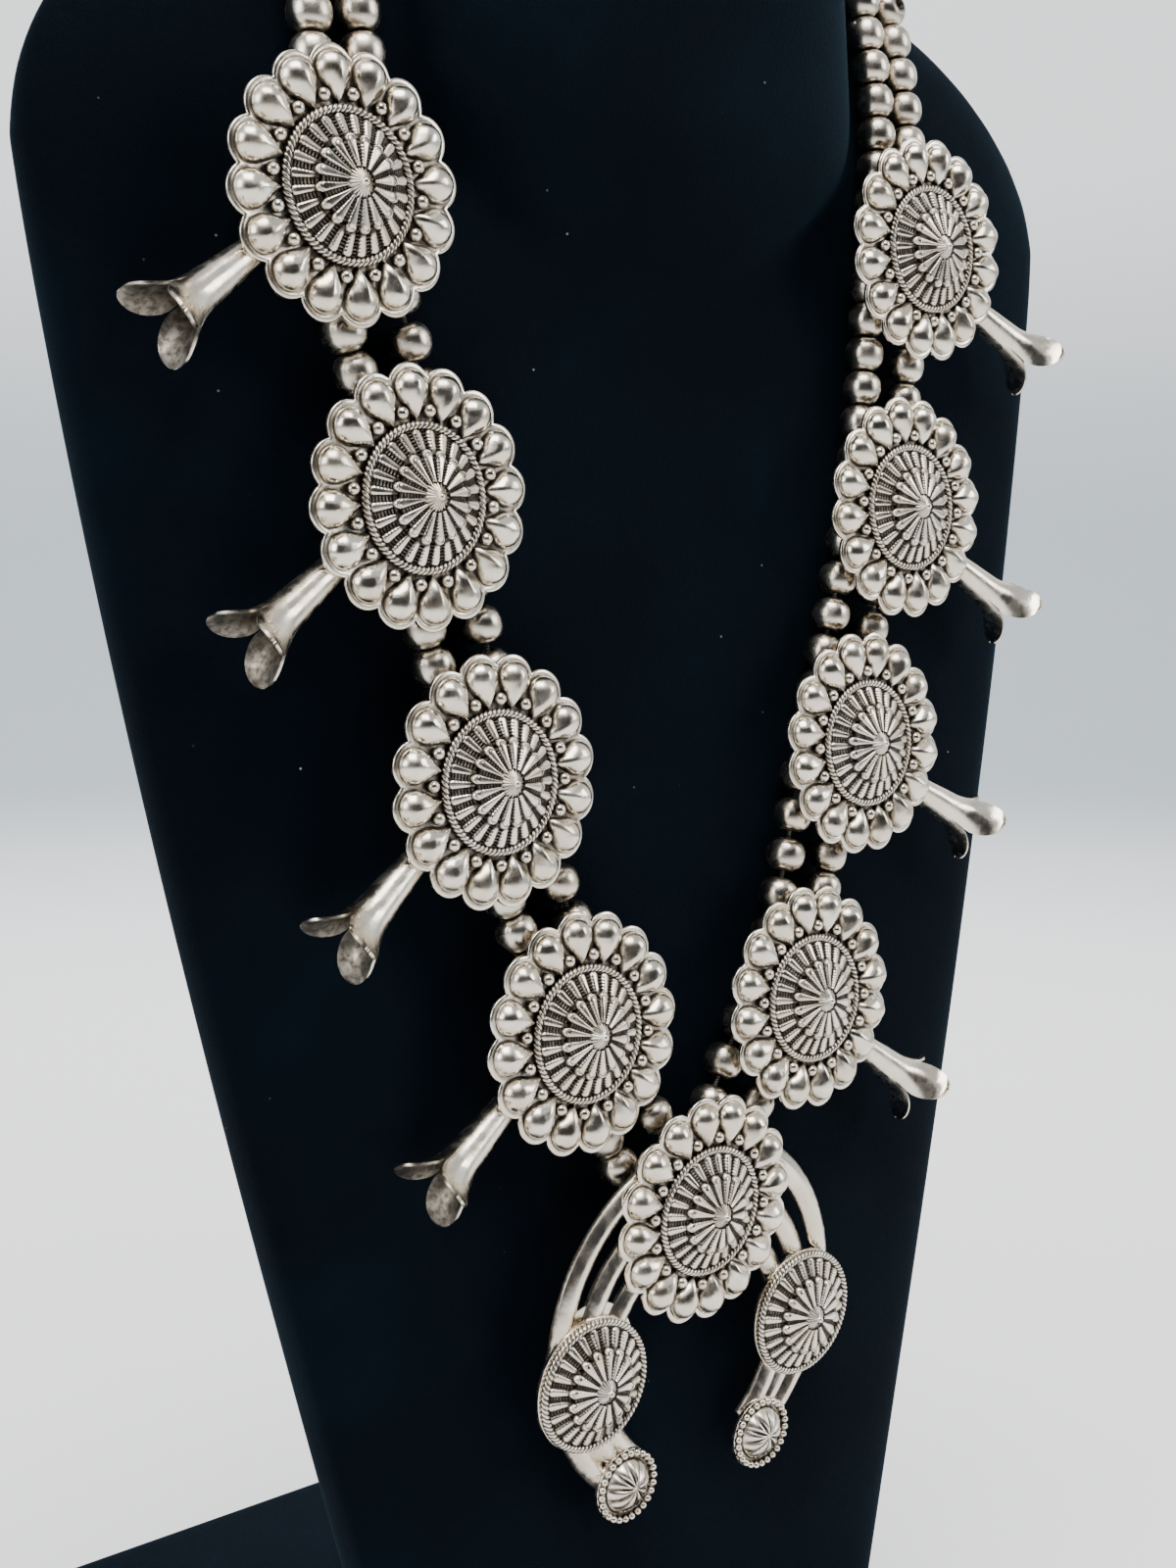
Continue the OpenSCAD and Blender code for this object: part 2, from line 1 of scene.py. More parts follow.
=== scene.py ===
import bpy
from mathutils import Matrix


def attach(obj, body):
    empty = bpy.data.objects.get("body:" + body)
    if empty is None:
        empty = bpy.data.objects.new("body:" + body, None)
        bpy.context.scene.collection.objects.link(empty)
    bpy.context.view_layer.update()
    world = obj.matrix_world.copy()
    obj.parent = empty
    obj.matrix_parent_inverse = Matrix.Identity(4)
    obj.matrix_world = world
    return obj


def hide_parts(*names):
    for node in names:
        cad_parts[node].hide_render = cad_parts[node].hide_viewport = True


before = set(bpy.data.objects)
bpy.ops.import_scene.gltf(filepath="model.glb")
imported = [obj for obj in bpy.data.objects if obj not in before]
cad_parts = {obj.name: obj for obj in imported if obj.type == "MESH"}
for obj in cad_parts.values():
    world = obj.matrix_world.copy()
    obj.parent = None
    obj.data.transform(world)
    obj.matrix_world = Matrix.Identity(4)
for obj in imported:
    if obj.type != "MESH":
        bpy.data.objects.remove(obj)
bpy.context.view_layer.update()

import math
import random

import bmesh
import bpy
import numpy as np
from mathutils import Matrix, Vector, noise
from mathutils.bvhtree import BVHTree

# Shapes are modelled in millimetres in their own frames and go to their places in metres
toMetres = Matrix.Scale(0.001, 4)

# How the bust leans on its board, which everything that hangs on it shares
hanging = {"lean": 2.3, "footY": -67, "boardTop": 12}


def hungFrame():
    x, y, z = 0, hanging["footY"], hanging["boardTop"]
    return Matrix.Translation((x, y, z)) @ Matrix.Rotation(math.radians(-hanging["lean"]), 4, "X")


def facingOut(x, z, off):
    facing = Matrix.Rotation(math.radians(90), 4, "X")
    return hungFrame() @ Matrix.Translation((x, -off, z)) @ facing


def mix(a, b, share):
    return a + (b - a) * share


# Materials

def newGroup(name, inputs, outputs):
    group = bpy.data.node_groups.new(name, "ShaderNodeTree")
    for label, kind, value in inputs:
        socket = group.interface.new_socket(label, in_out="INPUT", socket_type=kind)
        if value is not None:
            socket.default_value = value
    for label, kind in outputs:
        group.interface.new_socket(label, in_out="OUTPUT", socket_type=kind)
    return group, group.nodes.new("NodeGroupInput"), group.nodes.new("NodeGroupOutput")


def addNode(tree, kind, settings=None, values=None):
    node = tree.nodes.new(kind)
    for key, value in (settings or {}).items():
        setattr(node, key, value)
    for key, value in (values or {}).items():
        node.inputs[key].default_value = value
    return node


def ramp(tree, source, low, high, toLow=0.0, toHigh=1.0):
    node = addNode(tree, "ShaderNodeMapRange", {"interpolation_type": "SMOOTHSTEP"})
    node.inputs["From Min"].default_value = low
    node.inputs["From Max"].default_value = high
    node.inputs["To Min"].default_value = toLow
    node.inputs["To Max"].default_value = toHigh
    tree.links.new(source, node.inputs["Value"])
    return node.outputs["Result"]


def colourMix(tree, factor, a, b, blend="MIX"):
    node = addNode(tree, "ShaderNodeMix", {"data_type": "RGBA", "blend_type": blend})
    for socket, value in ((node.inputs[0], factor), (node.inputs[6], a), (node.inputs[7], b)):
        if isinstance(value, bpy.types.NodeSocket):
            tree.links.new(value, socket)
        else:
            socket.default_value = value
    return node.outputs[2]


def calc(tree, operation, a, b):
    node = addNode(tree, "ShaderNodeMath", {"operation": operation})
    for socket, value in ((node.inputs[0], a), (node.inputs[1], b)):
        if isinstance(value, bpy.types.NodeSocket):
            tree.links.new(value, socket)
        else:
            socket.default_value = value
    return node.outputs[0]


def noiseNode(tree, scale, detail, roughness):
    return addNode(tree, "ShaderNodeTexNoise",
                   values={"Scale": scale, "Detail": detail, "Roughness": roughness})


surfaceOutputs = (("Colour", "NodeSocketColor"), ("Rough", "NodeSocketFloat"),
                  ("Height", "NodeSocketFloat"))

silverLook = {
    "bright": (0.87, 0.80, 0.69, 1), "warm": (0.75, 0.665, 0.54, 1), "dull": (0.67, 0.60, 0.505, 1),
    "grime": (0.022, 0.018, 0.015, 1), "grimeLight": (0.060, 0.050, 0.040, 1),
    "polished": 0.17, "satin": 0.31, "grimeRough": 0.25, "pitDepth": 0.15,
}


# Tarnish that lies in the hollows, with worn spots and a slight warm and cool tint over the rest
def tarnishGroup():
    group, given, made = newGroup("tarnish", (
        ("Place", "NodeSocketVector", None), ("Hollow", "NodeSocketFloat", 0.0),
        ("Tone", "NodeSocketFloat", 0.5), ("Wear", "NodeSocketFloat", 0.5)), surfaceOutputs)
    link = group.links.new
    spots = noiseNode(group, 900, 4, 0.6)
    clouds = noiseNode(group, 160, 3, 0.5)
    dents = noiseNode(group, 420, 2, 0.5)
    pits = addNode(group, "ShaderNodeTexVoronoi", values={"Scale": 1500})
    for texture in (spots, clouds, dents, pits):
        link(given.outputs["Place"], texture.inputs["Vector"])
    stain = calc(group, "ADD", given.outputs["Hollow"],
                 ramp(group, spots.outputs["Fac"], 0.35, 0.75, -0.1, 0.14))
    dark = ramp(group, stain, 0.18, 0.92)
    warm = colourMix(group, ramp(group, clouds.outputs["Fac"], 0.35, 0.65),
                     silverLook["bright"], silverLook["warm"])
    toned = colourMix(group, ramp(group, given.outputs["Tone"], 0.0, 1.0), warm, silverLook["dull"])
    grime = colourMix(group, ramp(group, spots.outputs["Fac"], 0.3, 0.7),
                      silverLook["grime"], silverLook["grimeLight"])
    link(colourMix(group, dark, toned, grime), made.inputs["Colour"])
    base = ramp(group, dents.outputs["Fac"], 0.3, 0.7, silverLook["polished"], silverLook["satin"])
    rougher = calc(group, "MULTIPLY", dark, silverLook["grimeRough"])
    link(calc(group, "ADD", base, rougher), made.inputs["Rough"])
    pitted = calc(group, "MULTIPLY", ramp(group, pits.outputs["Distance"], 0.0, 0.12, -1.0, 0.0),
                  silverLook["pitDepth"])
    uneven = calc(group, "MULTIPLY", dents.outputs["Fac"], given.outputs["Wear"])
    link(calc(group, "ADD", uneven, pitted), made.inputs["Height"])
    return group


velvetLook = {
    "dark": (0.0005, 0.0020, 0.0046, 1), "light": (0.0014, 0.0044, 0.0085, 1),
    "lint": (0.35, 0.37, 0.42, 1), "sheen": 0.1, "sheenTint": (0.13, 0.34, 0.52, 1),
}


# Pile of the velvet: lighter patches where it is brushed, a fine nap and a few specks of lint
def pileGroup():
    group, given, made = newGroup("pile", (
        ("Place", "NodeSocketVector", None), ("Dark", "NodeSocketColor", velvetLook["dark"]),
        ("Light", "NodeSocketColor", velvetLook["light"]),
        ("Lint", "NodeSocketColor", velvetLook["lint"])), surfaceOutputs)
    link = group.links.new
    brushed = noiseNode(group, 22, 4, 0.55)
    nap = noiseNode(group, 2600, 2, 0.6)
    specks = addNode(group, "ShaderNodeTexVoronoi", values={"Scale": 190})
    for texture in (brushed, nap, specks):
        link(given.outputs["Place"], texture.inputs["Vector"])
    cloth = colourMix(group, ramp(group, brushed.outputs["Fac"], 0.35, 0.7),
                      given.outputs["Dark"], given.outputs["Light"])
    near = ramp(group, specks.outputs["Distance"], 0.022, 0.045, 1.0, 0.0)
    split = addNode(group, "ShaderNodeSeparateColor")
    link(specks.outputs["Color"], split.inputs[0])
    few = ramp(group, split.outputs[0], 0.6, 1.0)
    link(colourMix(group, calc(group, "MULTIPLY", near, few), cloth, given.outputs["Lint"]),
         made.inputs["Colour"])
    link(ramp(group, nap.outputs["Fac"], 0.3, 0.7, 0.8, 0.98), made.inputs["Rough"])
    link(nap.outputs["Fac"], made.inputs["Height"])
    return group


def placeSocket(tree):
    return addNode(tree, "ShaderNodeTexCoord").outputs["Object"]


def attributeSocket(tree, name):
    return addNode(tree, "ShaderNodeAttribute", {"attribute_name": name}).outputs["Fac"]


def newMaterial(name, principled):
    material = bpy.data.materials.new(name)
    material.use_nodes = True
    tree = material.node_tree
    tree.nodes.clear()
    shader = addNode(tree, "ShaderNodeBsdfPrincipled", values=principled)
    end = addNode(tree, "ShaderNodeOutputMaterial")
    tree.links.new(shader.outputs[0], end.inputs[0])
    return material, tree, shader


def addBump(tree, shader, height, strength, distance):
    bump = addNode(tree, "ShaderNodeBump", values={"Strength": strength, "Distance": distance})
    tree.links.new(height, bump.inputs["Height"])
    tree.links.new(bump.outputs["Normal"], shader.inputs["Normal"])
    return bump


# Silver with patina and tone from the mesh, and on the beads the fine lines of their polishing
def silver(name, wear, strength, attributes=True, lines=False):
    material, tree, shader = newMaterial(name, {"Metallic": 1.0})
    group = addNode(tree, "ShaderNodeGroup", {"node_tree": shared["tarnish"]}, {"Wear": wear})
    tree.links.new(placeSocket(tree), group.inputs["Place"])
    if attributes:
        tree.links.new(attributeSocket(tree, "patina"), group.inputs["Hollow"])
        tree.links.new(attributeSocket(tree, "tone"), group.inputs["Tone"])
    tree.links.new(group.outputs["Colour"], shader.inputs["Base Color"])
    tree.links.new(group.outputs["Rough"], shader.inputs["Roughness"])
    height = group.outputs["Height"]
    if lines:
        polish = addNode(tree, "ShaderNodeTexNoise", {"noise_dimensions": "1D"},
                         {"Scale": 14, "Detail": 5, "Roughness": 0.7})
        tree.links.new(attributeSocket(tree, "along"), polish.inputs["W"])
        height = calc(tree, "ADD", height, calc(tree, "MULTIPLY", polish.outputs["Fac"], 0.22))
    addBump(tree, shader, height, strength, 0.0002)
    return material


def velvet():
    material, tree, shader = newMaterial("blackVelvet", {
        "Metallic": 0.0, "Specular IOR Level": 0.05, "Sheen Weight": velvetLook["sheen"],
        "Sheen Roughness": 0.35, "Sheen Tint": velvetLook["sheenTint"]})
    group = addNode(tree, "ShaderNodeGroup", {"node_tree": shared["pile"]})
    tree.links.new(placeSocket(tree), group.inputs["Place"])
    tree.links.new(group.outputs["Colour"], shader.inputs["Base Color"])
    tree.links.new(group.outputs["Rough"], shader.inputs["Roughness"])
    addBump(tree, shader, group.outputs["Height"], 0.5, 0.0003)
    return material


# The fine woven chain, as bands of links
def foxtail():
    material, tree, shader = newMaterial("foxtailChain", {"Metallic": 1.0})
    links = addNode(tree, "ShaderNodeTexWave", {"bands_direction": "Z"},
                    {"Scale": 700, "Distortion": 2.0, "Detail": 1})
    tree.links.new(placeSocket(tree), links.inputs["Vector"])
    woven = colourMix(tree, links.outputs["Fac"], (0.10, 0.09, 0.08, 1), (0.55, 0.52, 0.47, 1))
    tree.links.new(woven, shader.inputs["Base Color"])
    rough = ramp(tree, links.outputs["Fac"], 0.0, 1.0, 0.55, 0.35)
    tree.links.new(rough, shader.inputs["Roughness"])
    addBump(tree, shader, links.outputs["Fac"], 0.6, 0.0003)
    return material


# Modelling helpers

# A sheet of rows and columns round the Z axis, bent into shape by place(row, column)
def turned(columns, rows, place):
    bm = bmesh.new()
    patina = bm.verts.layers.float.new("patina")
    chain = [bm.verts.new((row + 1, 0, 0)) for row in range(rows)]
    links = [bm.edges.new(pair) for pair in zip(chain, chain[1:])]
    bmesh.ops.spin(bm, geom=chain + links, cent=(0, 0, 0), axis=(0, 0, 1), angle=math.tau,
                   steps=columns, use_merge=True)
    for vert in bm.verts:
        row = round(vert.co.xy.length) - 1
        column = round(math.atan2(vert.co.y, vert.co.x) / math.tau * columns) % columns
        radius, angle, height, dark = place(row, column)
        vert.co = (radius * math.cos(angle), radius * math.sin(angle), height)
        vert[patina] = dark
    bmesh.ops.remove_doubles(bm, verts=bm.verts, dist=0.0005)
    bmesh.ops.recalc_face_normals(bm, faces=bm.faces)
    return bm


def facingUp(bm):
    if sum(face.normal.z * face.calc_area() for face in bm.faces) < 0:
        bmesh.ops.reverse_faces(bm, faces=bm.faces)
    return bm


def asMesh(bm, name):
    mesh = bpy.data.meshes.new(name)
    bm.to_mesh(mesh)
    bm.free()
    return mesh


def emptyShape():
    bm = bmesh.new()
    bm.verts.layers.float.new("patina")
    return bm


def addCopy(bm, mesh, matrix):
    start = len(bm.verts)
    bm.from_mesh(mesh)
    bm.verts.ensure_lookup_table()
    bmesh.ops.transform(bm, matrix=matrix, verts=bm.verts[start:])


def addPart(bm, part, matrix):
    mesh = asMesh(part, "part")
    addCopy(bm, mesh, matrix)
    bpy.data.meshes.remove(mesh)


def turnZ(degrees):
    return Matrix.Rotation(math.radians(degrees), 4, "Z")


def shift(x, y, z=0):
    return Matrix.Translation((x, y, z))


# Darkens what lies in a hollow: the share of near rays that meet the same shape again
def darkenHollows(bm, reach=2.0, rays=26, strength=1.4):
    tree = BVHTree.FromBMesh(bm)
    patina = bm.verts.layers.float["patina"]
    golden = math.pi * (3 - math.sqrt(5))
    directions = []
    for i in range(rays):
        height = 1 - 2 * (i + 0.5) / rays
        out = math.sqrt(1 - height * height)
        directions.append(Vector((out * math.cos(golden * i), out * math.sin(golden * i), height)))
    bm.normal_update()
    for vert in bm.verts:
        normal = vert.normal
        start = vert.co + normal * 0.03
        met = total = 0.0
        for direction in directions:
            facing = direction.dot(normal)
            if facing > 0.2:
                total += facing
                hit = tree.ray_cast(start, direction, reach)
                if hit[0] is not None:
                    met += facing * (1 - 0.6 * hit[3] / reach)
        hidden = min(1.0, strength * met / max(total, 0.001))
        vert[patina] = 1 - (1 - vert[patina]) * (1 - hidden)


def finishPiece(name, bm, material, node):
    mesh = asMesh(bm, name)
    mesh.transform(toMetres)
    mesh.materials.append(material)
    mesh.shade_smooth()
    piece = bpy.data.objects.new(name, mesh)
    bpy.context.scene.collection.objects.link(piece)
    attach(piece, "root")
    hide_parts(node)
    return piece


# Parts of a rosette

rosette = {
    "radius": 20.4, "plate": 0.8, "petals": 16, "lobeAt": 16.45, "lobeRadius": 3.95, "edge": 0.16,
    "rimAt": 0.85, "stepAt": 1.1, "stepDown": 0.08, "tearRadius": 2.95, "tearTip": 1.68,
    "tearHeight": 2.5, "tearFlank": 0.07, "tearSway": 4, "tearSize": 0.03, "tearSunk": 0.02,
    "ballRadius": 1.05, "ballAt": 13.12, "ballHeight": 0.63, "hammered": 0.07, "domeTurn": 3,
}


def scallop(angle):
    step = math.tau / rosette["petals"]
    off = (angle + step / 2) % step - step / 2
    at, radius = rosette["lobeAt"], rosette["lobeRadius"]
    return at * math.cos(off) + math.sqrt(radius ** 2 - (at * math.sin(off)) ** 2)


def plateShape():
    columns, edge, thick = rosette["petals"] * 14, rosette["edge"], rosette["plate"]
    low = thick - rosette["stepDown"]
    rows = ((0, None, 0), (9, None, 0), (0, edge, 0), (0, 0, edge), (0, 0, thick - edge),
            (0, edge, thick), (0, rosette["rimAt"], thick), (0, rosette["stepAt"], low),
            (12, None, low), (10, None, thick), (0, None, thick))

    def place(row, column):
        angle = math.tau * column / columns
        radius, inset, height = rows[row]
        if inset is not None:
            radius = scallop(angle) - inset
        return radius, angle, height, 0.3 if height == low else 0.0
    return turned(columns, len(rows), place)


def teardropShape():
    bm = emptyShape()
    bmesh.ops.create_uvsphere(bm, u_segments=24, v_segments=12, radius=1)
    low = [vert for vert in bm.verts if vert.co.z < -0.01]
    bmesh.ops.delete(bm, geom=low, context="VERTS")
    tip = math.acos(1 / rosette["tearTip"])
    for vert in bm.verts:
        x, y, z = vert.co
        share = min(1.0, math.hypot(x, y))
        angle = math.atan2(y, x)
        off = math.pi - abs(angle)
        reach = rosette["tearRadius"] / (math.cos(tip - off) if off < tip else 1)
        crest = 1 - rosette["tearFlank"] * (abs(math.sin(angle)) + math.sin(angle) ** 2) * share
        height = rosette["tearHeight"] * (1 - share ** 2.3) ** 0.58 * crest
        vert.co = (reach * share * math.cos(angle), reach * share * math.sin(angle), height)
    return bm


rope = {
    "radius": 10.95, "wire": 0.75, "height": 1.4, "ridges": 80, "strands": 3, "groove": 0.22,
    "section": 14,
}


def ropeShape():
    columns = rope["ridges"] * 5

    def place(row, column):
        turn, angle = math.tau * row / rope["section"], math.tau * column / columns
        ridge = (0.5 + 0.5 * math.cos(rope["strands"] * turn - rope["ridges"] * angle)) ** 0.6
        radius = rope["wire"] - rope["groove"] + rope["groove"] * ridge
        dark = 0.95 * (1 - ridge) ** 0.7
        height = rope["height"] + radius * math.sin(turn)
        return rope["radius"] + radius * math.cos(turn), angle, height, dark
    bm = turned(columns, rope["section"], place)
    bmesh.ops.bridge_loops(bm, edges=[edge for edge in bm.edges if edge.is_boundary])
    bmesh.ops.recalc_face_normals(bm, faces=bm.faces)
    return bm


# The dome's two tiers of tongues, with ladders of rungs stamped between them, and its fluted button
dome = {
    "outerTongues": 24, "outerTop": 10.25, "outerEnd": 6.5, "outerRise": 1.22, "outerSlope": 0.39,
    "outerWidths": (0.215, 0.285), "outerRound": 0.56, "outerHigh": 0.4, "floorAt": 10.4,
    "petals": 16, "petalEnd": 7.25, "petalNotch": 6.2, "innerEnd": 2.35, "innerRise": 3.5,
    "innerSlope": 0.21, "innerWidths": (0.2, 0.315), "innerHigh": 0.36, "ladderSunk": -0.36,
    "rung": 0.5, "rungBar": 0.19, "rungEdge": 0.05, "rungDark": 0.7,
    "flutes": 22, "fluteDepth": 0.24, "buttonRadius": 2.3, "buttonBase": 4.5, "buttonTop": 5.9,
}


# Radii at which the rungs of the ladders between the tongues begin and end
def rungRows(top, end):
    rows = []
    radius = top
    while radius - dome["rung"] > end:
        bar, edge = radius - dome["rungBar"], dome["rungEdge"]
        rows += [(radius, "rung"), (bar, "rung"), (bar - edge, "gap"),
                 (radius - dome["rung"] + edge, "gap")]
        radius -= dome["rung"]
    return rows + [(radius, "rung"), (end, "rung")]


# How dark the patina is between the tongues
def gapDark(crest, kind):
    if crest:
        return 0.0
    return dome["rungDark"] if kind == "rung" else 1.0


def outerTier():
    across = ((-1, 0), (-0.86, 1), (-0.3, 1.12), (0.3, 1.12), (0.86, 1), (1, 0), (None, 0))
    top, end = dome["outerTop"], dome["outerEnd"]
    rows = [(rope["radius"], "floor"), (dome["floorAt"], "floor")] + rungRows(top, end)
    columns = dome["outerTongues"] * len(across)
    step = math.tau / dome["outerTongues"]

    def place(row, column):
        radius, kind = rows[row]
        period, index = divmod(column, len(across))
        side, crest = across[index]
        width = mix(*dome["outerWidths"], (radius - end) / (top - end))
        if radius > top - 0.5:
            width *= math.sqrt(max(0.02, 1 - ((radius - top + 0.5) / dome["outerRound"]) ** 2))
        angle = step * (period + (0.5 if side is None else width * side))
        base = dome["outerRise"] + dome["outerSlope"] * (rope["radius"] - radius)
        if kind == "floor":
            return radius, angle, base - 0.2, 0.95
        low = 0.04 if kind == "rung" else dome["ladderSunk"]
        height = base + (dome["outerHigh"] * crest if crest else low)
        under = min(1.0, max(0.0, (dome["petalEnd"] + 0.45 - radius) / 0.5))
        return radius, angle, height, max(0.8 * under, gapDark(crest, kind))
    return facingUp(turned(columns, len(rows), place))


def innerTier():
    across = ((-1, 0), (-0.88, 1), (-0.5, 1.1), (0, 1.15), (0.5, 1.1), (0.88, 1), (1, 0), (None, 0))
    borders = ((0, -1.1, 1.0), (0.05, 0, 0.15), (0.3, 0.04, 0), (0.44, -0.16, 0.9), (0.58, 0.04, 0))
    rungs = rungRows(dome["petalNotch"] - 0.25, dome["innerEnd"])
    columns = dome["petals"] * len(across)
    step = math.tau / dome["petals"]
    start = dome["petalNotch"] - 0.1

    def place(row, column):
        period, index = divmod(column, len(across))
        side, crest = across[index]
        if row < len(borders):
            inset, lift, dark = borders[row]
            bulge = math.sqrt(max(0.0, 1 - (side or 0) ** 2)) if side is not None else 0
            outline = mix(start, dome["petalEnd"], bulge)
            radius = outline - min(inset, (outline - start) * 0.9 + inset * 0.2)
            kind = "rung"
        else:
            radius, kind = rungs[row - len(borders)]
            lift, dark = 0, 0
        notch, end = dome["petalNotch"], dome["innerEnd"]
        width = mix(*dome["innerWidths"], (min(radius, notch) - end) / (notch - end))
        angle = step * (period + (0.5 if side is None else width * side))
        base = dome["innerRise"] + dome["innerSlope"] * (7 - radius)
        low = 0.02 if kind == "rung" else dome["ladderSunk"]
        height = base + (dome["innerHigh"] * crest if crest else low) + lift
        if row == 0:
            return radius, angle, height, dark
        return radius, angle, height, max(dark, gapDark(crest, kind))
    return facingUp(turned(columns, len(borders) + len(rungs), place))


def buttonShape():
    columns = dome["flutes"] * 4
    rows = ((1.12, -0.5, 1.0), (1.0, 0.0, 0.3), (0.86, 0.16, 0), (0.66, 0.44, 0), (0.46, 0.7, 0),
            (0.28, 0.92, 0), (0.24, 1.06, 0), (0.17, 1.2, 0), (0.07, 1.27, 0), (0, 1.28, 0))

    def place(row, column):
        share, rise, dark = rows[row]
        angle = math.tau * column / columns
        height = mix(dome["buttonBase"], dome["buttonTop"], rise)
        valley = (1.0, 0.35, 0.0, 0.35)[column % 4] if 1 <= row <= 5 else 0.0
        depth = dome["fluteDepth"] * share
        radius = dome["buttonRadius"] * share - valley * depth * 0.4
        return radius, angle, height - valley * depth, max(dark, 0.85 * valley)
    return facingUp(turned(columns, len(rows), place))


# The stamped dome in two tiers, with its rope ring
def domeShape():
    bm = emptyShape()
    for part in (outerTier(), innerTier(), buttonShape(), ropeShape()):
        addPart(bm, part, Matrix())
    return bm


def unevenTears(bm, start):
    bm.verts.ensure_lookup_table()
    for vert in bm.verts[start:]:
        lump = noise.noise(vert.co * 0.55) + 0.5 * noise.noise(vert.co * 1.3 + Vector((7, 3, 1)))
        vert.co.z += rosette["hammered"] * lump * min(1.0, vert.co.z - rosette["plate"])


def rosetteShape():
    bm = emptyShape()
    step = 360 / rosette["petals"]
    plate = asMesh(plateShape(), "plate")
    addCopy(bm, plate, Matrix())
    tear = asMesh(teardropShape(), "teardrop")
    start = len(bm.verts)
    for i in range(rosette["petals"]):
        size = 1 + rosette["tearSize"] * noise.noise(Vector((i * 3.7, 0.5, 0.5)))
        sway = rosette["tearSway"] * noise.noise(Vector((0.5, i * 2.9, 0.5)))
        seat = shift(rosette["lobeAt"], 0, rosette["plate"] - rosette["tearSunk"])
        addCopy(bm, tear, turnZ(i * step) @ seat @ turnZ(sway) @ Matrix.Scale(size, 4))
    unevenTears(bm, start)
    ball = emptyShape()
    bmesh.ops.create_uvsphere(ball, u_segments=14, v_segments=9, radius=rosette["ballRadius"])
    ball = asMesh(ball, "smallBall")
    for i in range(rosette["petals"]):
        addCopy(bm, ball, turnZ((i + 0.5) * step)
                @ shift(rosette["ballAt"], 0, rosette["plate"] + rosette["ballHeight"]))
    centre = asMesh(domeShape(), "stampedDome")
    addCopy(bm, centre, turnZ(rosette["domeTurn"]))
    for mesh in (plate, tear, ball, centre):
        bpy.data.meshes.remove(mesh)
    return bm


trumpet = {
    "root": 16.4, "part": 29.2, "reach": 37.8, "rootRadius": 2.1, "throatRadius": 3.0,
    "flareRadius": 7.05, "sheet": 0.5, "petalWidth": 3.9, "petalColumns": 14, "petalRows": 14,
    "tubeRows": 8, "roundFrom": 0.4, "cup": 0.25, "inside": 0.72,
    "rise": 5.5, "sink": 2.0, "drop": 33.5, "turn": 8,
}


# Trumpet along +Z: a tapered tube of sheet that parts into three flared petals
def trumpetShape():
    bm = emptyShape()
    patina = bm.verts.layers.float["patina"]
    perPetal, petalRows, rows = trumpet["petalColumns"], trumpet["petalRows"], trumpet["tubeRows"]
    columns = 3 * perPetal

    def placeTube(row, column):
        share = row / (rows - 1)
        radius = mix(trumpet["rootRadius"], trumpet["throatRadius"], share)
        height = mix(trumpet["root"], trumpet["part"], share)
        return radius, math.tau * column / columns, height, 0.12
    addPart(bm, turned(columns, rows, placeTube), turnZ(-60))
    length = trumpet["reach"] - trumpet["part"]
    for petal in range(3):
        grid = bmesh.ops.create_grid(bm, x_segments=perPetal, y_segments=petalRows, size=1)
        for vert in grid["verts"]:
            across, along = vert.co.x, 1 - ((1 - vert.co.y) / 2) ** 1.9
            radius = mix(trumpet["throatRadius"], trumpet["flareRadius"], along ** 1.7)
            slit = 1 - 0.05 * min(1.0, along / 0.2)
            width = min(radius * math.pi / 3 * slit, trumpet["petalWidth"])
            if along > trumpet["roundFrom"]:
                rest = (along - trumpet["roundFrom"]) / (1 - trumpet["roundFrom"])
                width *= max(0.001, 1 - rest ** 2.6) ** 0.5
            angle = math.radians(120 * petal) + across * width / radius
            radius += trumpet["cup"] * across ** 2 * along
            vert.co = (radius * math.cos(angle), radius * math.sin(angle),
                       trumpet["part"] + length * (1 - (1 - along) ** 1.25))
            vert[patina] = 0.1
    bmesh.ops.remove_doubles(bm, verts=bm.verts, dist=0.02)
    bmesh.ops.recalc_face_normals(bm, faces=bm.faces)
    middles = [(face.normal, face.calc_center_median()) for face in bm.faces]
    if sum(normal.dot(Vector((middle.x, middle.y, 0))) for normal, middle in middles) < 0:
        bmesh.ops.reverse_faces(bm, faces=bm.faces)
    bmesh.ops.solidify(bm, geom=list(bm.faces), thickness=trumpet["sheet"])
    bmesh.ops.recalc_face_normals(bm, faces=bm.faces)
    bm.normal_update()
    for vert in bm.verts:
        outward = vert.normal.dot(Vector((vert.co.x, vert.co.y, 0)).normalized())
        if outward < -0.1 or (vert.normal.z > 0.5 and outward < 0.6):
            vert[patina] = trumpet["inside"]
    return bm


def trumpetPlace(hand, extra):
    drop = trumpet["drop"] + extra
    return (turnZ(-drop if hand > 0 else 180 + drop)
            @ shift(rosette["radius"], 0, -trumpet["sink"])
            @ Matrix.Rotation(math.radians(-trumpet["rise"]), 4, "Y")
            @ shift(-rosette["radius"], 0, 0) @ Matrix.Rotation(math.radians(90), 4, "Y")
            @ turnZ(180 - hand * trumpet["turn"]))


# The frame's own solid, merged, in the local frame of a plate
def cadShape(node, local):
    bm = bmesh.new()
    bm.from_mesh(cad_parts[node].data)
    bmesh.ops.transform(bm, matrix=local.inverted() @ toMetres.inverted(), verts=bm.verts)
    bmesh.ops.remove_doubles(bm, verts=bm.verts, dist=0.0005)
    return bm


